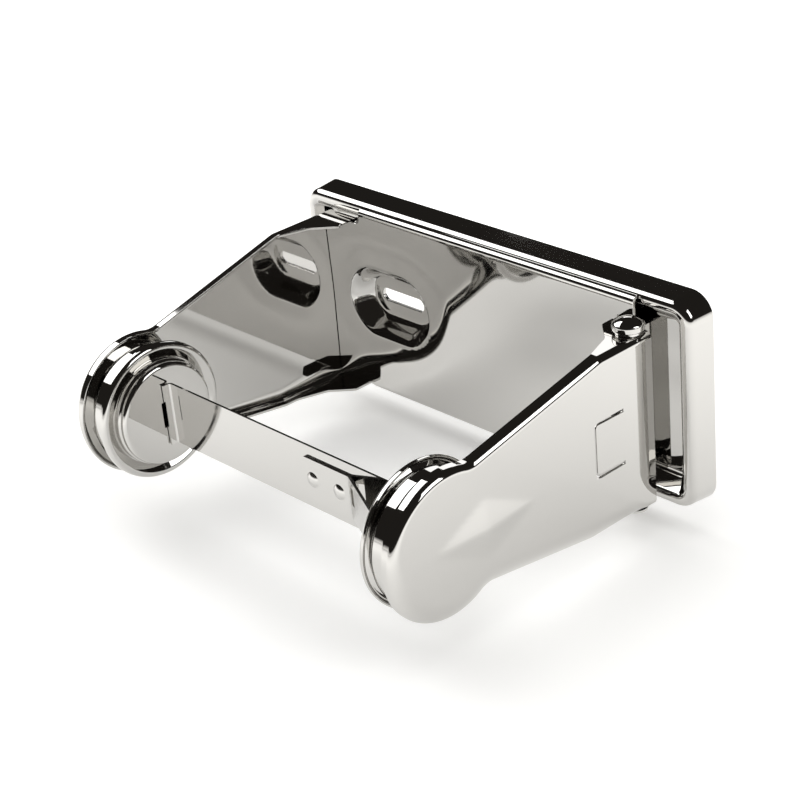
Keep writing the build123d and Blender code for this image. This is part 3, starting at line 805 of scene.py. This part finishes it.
def emboss(y, z, hub, has_tab):
    """Height of the arm's wall above its flat: the diamond and, if asked, a pressed-in tab."""
    across = np.hypot(y - DIAMOND_Y, DIAMOND_RIDGE) / DIAMOND_LENGTH
    over = np.hypot(z - hub[1], DIAMOND_RIDGE) / DIAMOND_HEIGHT
    level = 1 - across - over
    height = DIAMOND_RISE * (level + np.hypot(level, DIAMOND_FOOT)) / 2
    height = np.maximum(height - DIAMOND_RISE * DIAMOND_FOOT**2 * DIAMOND_TRIM, 0)
    middle, half = (TAB_TOP + TAB_BOTTOM) / 2, (TAB_TOP - TAB_BOTTOM - TAB_SLIT) / 2
    share = np.clip((TAB_ROOT - y) / (TAB_ROOT - TAB_FRONT), 0, 1)
    on_tab = (np.abs(z - middle) < half) & (y > TAB_FRONT + TAB_SLIT / 2)
    return height - TAB_PRESS * share**TAB_CURVE * on_tab * has_tab


def tab_slit():
    """Loop of the C-shaped cut that frees the stop tab from the arm's wall."""
    corners = [(TAB_ROOT, TAB_TOP), (TAB_FRONT, TAB_TOP),
               (TAB_FRONT, TAB_BOTTOM), (TAB_ROOT, TAB_BOTTOM)]
    outer = rounded(corners, TAB_CORNER, False, TAB_SPACING)[0]
    top, bottom, front = TAB_TOP - TAB_SLIT, TAB_BOTTOM + TAB_SLIT, TAB_FRONT + TAB_SLIT
    corners = [(TAB_ROOT, bottom), (front, bottom), (front, top), (TAB_ROOT, top)]
    inner = rounded(corners, TAB_CORNER - TAB_SLIT, False, TAB_SPACING)[0]
    return np.concatenate([outer, inner])


def make_arm(node, side):
    """Pressed arm: a soft-edged blade with turned-in edges, two ears and a diamond.
    The right one has a stop tab too."""
    low, high = box_mm(node)
    hub = hub_centre()
    rear, top, bottom = high[1], high[2], low[2]
    path, out = arm_path(rear, top, bottom, hub)
    upward = smooth(ARM_SOFT_MIDDLE - ARM_SOFT_SLOPE * out[:, 1])
    soft = upward * smooth((rear - path[:, 0]) / ARM_SOFT_REACH)
    width = ARM_BEND + (ARM_SOFT_WIDTH - ARM_BEND) * soft
    drop = ARM_BEND + (ARM_SOFT_DROP - ARM_BEND) * soft
    ear_places, ear_depths = (ARM_SHOULDER, EAR_HIP_Y, EAR_TIP_Y), (ARM_DEPTH, EAR_HIP, EAR_REACH)
    depth = np.interp(path[:, 0], ear_places, ear_depths)
    rows, leans = [], []
    for angle in np.linspace(0, pi / 2, ARM_BEND_STEPS):
        place = path - (width * (1 - np.sin(angle)))[:, None] * out
        x = ARM_OUTER - drop * (1 - np.cos(angle))
        rows.append(np.column_stack([x, place]))
        sideways = out * (np.sin(angle) / width)[:, None]
        leans.append(np.column_stack([np.cos(angle) / drop, sideways]))
    for share in ARM_WALL_SHARES:
        rows.append(np.column_stack([ARM_OUTER - drop - share * (depth - drop), path]))
        leans.append(np.column_stack([np.zeros(len(path)), out]))
    columns = len(path)
    edges = (np.concatenate(rows), unit(np.concatenate(leans)), grid_faces(len(rows), columns))
    brink = rows[0][:, 1:]
    closing = line(brink[-1], brink[0])[0][1:]
    has_tab = side > 0
    cuts = [tab_slit()] if has_tab else []
    flat, flat_faces, rim = fill([np.concatenate([brink, closing]), *cuts], ARM_SPACING)
    y, z = flat[:, 0], flat[:, 1]
    step = ARM_SLOPE_STEP
    height = emboss(y, z, hub, has_tab)
    slope_y = (emboss(y + step, z, hub, has_tab) - height) / step
    slope_z = (emboss(y, z + step, hub, has_tab) - height) / step
    # The step at the tab's own edge is a cut, and not a slope.
    slope_y[np.abs(slope_y) > STEEPEST_SLOPE] = 0
    slope_z[np.abs(slope_z) > STEEPEST_SLOPE] = 0
    places = np.column_stack([ARM_OUTER + height, y, z])
    leans = unit(np.column_stack([np.ones(len(y)), -slope_y, -slope_z]))
    blade = patched(edges, 0, rim[:columns], (places, leans, flat_faces))
    arm = build(node + "_pressing", [thicken(*blade, ARM_GAUGE)], side)
    stand_for(arm, node)


# ---- Hubs ----
def hub_centre():
    """Y and Z of the hubs' common axis."""
    low, high = box_mm("left_core_cup")
    return (low[1:] + high[1:]) / 2


def turn_sheet(profile, radii, hub):
    """A drawn ring: a sheet's centreline in X and radius, rounded, turned about the hub's axis."""
    line_points, left = rounded(profile, radii, False, HUB_SPACING)
    line_points = line_points + HUB_GAUGE / 2 * left
    angles = 2 * pi * np.arange(HUB_STEPS) / HUB_STEPS
    ring = np.stack([np.cos(angles), np.sin(angles)], axis=1)
    points, normals = [], []
    for (x, radius), (lean_x, lean_r) in zip(line_points, left):
        points.append(np.column_stack([np.full(HUB_STEPS, x), hub + radius * ring]))
        normals.append(np.column_stack([np.full(HUB_STEPS, lean_x), lean_r * ring]))
    faces = grid_faces(len(points), HUB_STEPS, around=True)
    return np.concatenate(points), np.concatenate(normals), faces


def make_hub(hand, side):
    """Collar, roll flange and core cup of one hub."""
    hub = hub_centre()
    rings = (("hub_collar", COLLAR_PROFILE, COLLAR_BEND),
             ("roll_flange", FLANGE_PROFILE, FLANGE_BEND))
    for name, profile, bend in rings:
        sheet = turn_sheet(profile, bend, hub)
        ring = build(f"{hand}_{name}_turned", [thicken(*sheet, HUB_GAUGE)], side)
        stand_for(ring, f"{hand}_{name}")

    wall = turn_sheet(CUP_PROFILE, CUP_BENDS, hub)
    points, normals, _ = wall
    first = len(points) - HUB_STEPS
    brink = points[first:, 1:]
    near, far, half = SLOT_PIVOT if side > 0 else SLOT_LATCH
    low, high = hub[1] - half, hub[1] + half
    slot_corners = [(near, low), (far, low), (far, high), (near, high)]
    slot = rounded(slot_corners, BAR_SLOT_CORNER, True)[0]
    disc, disc_faces, rim = fill([brink, slot], CUP_SPACING)
    places = np.column_stack([np.full(len(disc), points[first, 0]), disc])
    leans = np.repeat(normals[first:first + 1], len(disc), axis=0)
    whole = patched(wall, first, rim, (places, leans, disc_faces))
    cup = build(f"{hand}_core_cup_drawn", [thicken(*whole, HUB_GAUGE)], side)
    stand_for(cup, f"{hand}_core_cup")


# ---- Hinge rivets ----
def tall_head(radius):
    """Arcs of a tall head's profile: distance off the axis, radius, depth and angles."""
    crown, brim = TALL_CROWN
    bend, drop = TALL_SHOULDER
    hem_angles = np.linspace(pi / 2, pi, BEND_STEPS)
    return [(0, crown, crown, np.linspace(0, brim, CROWN_STEPS)),
            (radius - bend, bend, drop, np.linspace(brim + TALL_CREASE, pi / 2, BEND_STEPS)),
            (radius - TALL_HEM, TALL_HEM, TALL_HEAD - TALL_HEM, hem_angles)]


def low_head(radius):
    """The same arcs for a low button head."""
    crown, brim = LOW_CROWN
    rim_angles = np.linspace(brim + LOW_CREASE, pi, CROWN_STEPS)
    return [(0, crown, crown, np.linspace(0, brim, CROWN_STEPS)),
            (radius - LOW_RIM, LOW_RIM, LOW_HEAD - LOW_RIM, rim_angles)]


def make_rivet(node, out, head_arcs, head_height):
    """Hinge rivet turned about Z: a domed head, a shank and a clinched tail."""
    low, high = box_mm(node)
    centre = (low[:2] + high[:2]) / 2
    head, tail = (high[2], low[2]) if out > 0 else (low[2], high[2])
    radius = (high[0] - low[0]) / 2
    seat = head - out * head_height
    profile, leans = [], []
    for middle, size, depth, angles in head_arcs(radius):
        for a in angles:
            profile.append((middle + size * np.sin(a), head - out * (depth - size * np.cos(a))))
            leans.append((np.sin(a), out * np.cos(a)))
    tail_start = tail + out * RIVET_TAIL_LENGTH
    toward, away, outward = (0, out), (0, -out), (1, 0)
    profile += [(RIVET_SHANK, seat), (RIVET_SHANK, seat), (RIVET_SHANK, tail_start),
                (RIVET_TAIL, tail_start), (RIVET_TAIL, tail_start), (RIVET_TAIL, tail),
                (RIVET_TAIL, tail), (0.0, tail)]
    leans += [away, outward, outward, toward, outward, outward, away, away]
    turns = 2 * pi * np.arange(RIVET_STEPS) / RIVET_STEPS
    ring = np.stack([np.cos(turns), np.sin(turns)], axis=1)
    ones = np.ones(RIVET_STEPS)
    rows = [np.column_stack([centre + max(r, RIVET_AXIS) * ring, z * ones]) for r, z in profile]
    tilts = [np.column_stack([lean_r * ring, lean_z * ones]) for lean_r, lean_z in leans]
    points, normals = np.concatenate(rows), np.concatenate(tilts)
    faces = facing(points, normals, grid_faces(len(profile), RIVET_STEPS, around=True))
    stand_for(build(node + "_turned", [(points, unit(normals), faces)]), node)


make_camera()
make_studio()

# Each slot's material: its name, colour, roughness, pressing waves and grain.
finishes = {
    "chrome": metal("bright_chrome", CHROME, 0.035, 0.015),
    "chrome_plate": metal("plate_chrome", CHROME, 0.035, 0.015),
    "chrome_rivet": metal("rivet_chrome", CHROME, 0.05, 0.0),
    "polished_steel": metal("polished_steel", STEEL, 0.06, 0.02, 0.02),
    "spring_steel": metal("spring_steel", STEEL, 0.16, 0.02, 0.08),
    "rivet_steel": metal("rivet_steel", STEEL, 0.14, 0.0),
    "washer_steel": metal("washer_steel", STEEL, 0.12, 0.0),
}
for part in frame["record"]["subparts"]:
    node = frame["nodes"][part["node"]]
    node.data.materials.clear()
    node.data.materials.append(finishes[part["material_slot"]])

make_plate()
make_bracket()
for hand, side in (("left", -1), ("right", 1)):
    make_arm(f"{hand}_arm", side)
    make_hub(hand, side)
make_rivet("upper_hinge_rivet", 1, tall_head, TALL_HEAD)
make_rivet("lower_hinge_rivet", -1, low_head, LOW_HEAD)

bpy.context.scene.view_settings.view_transform = "Standard"
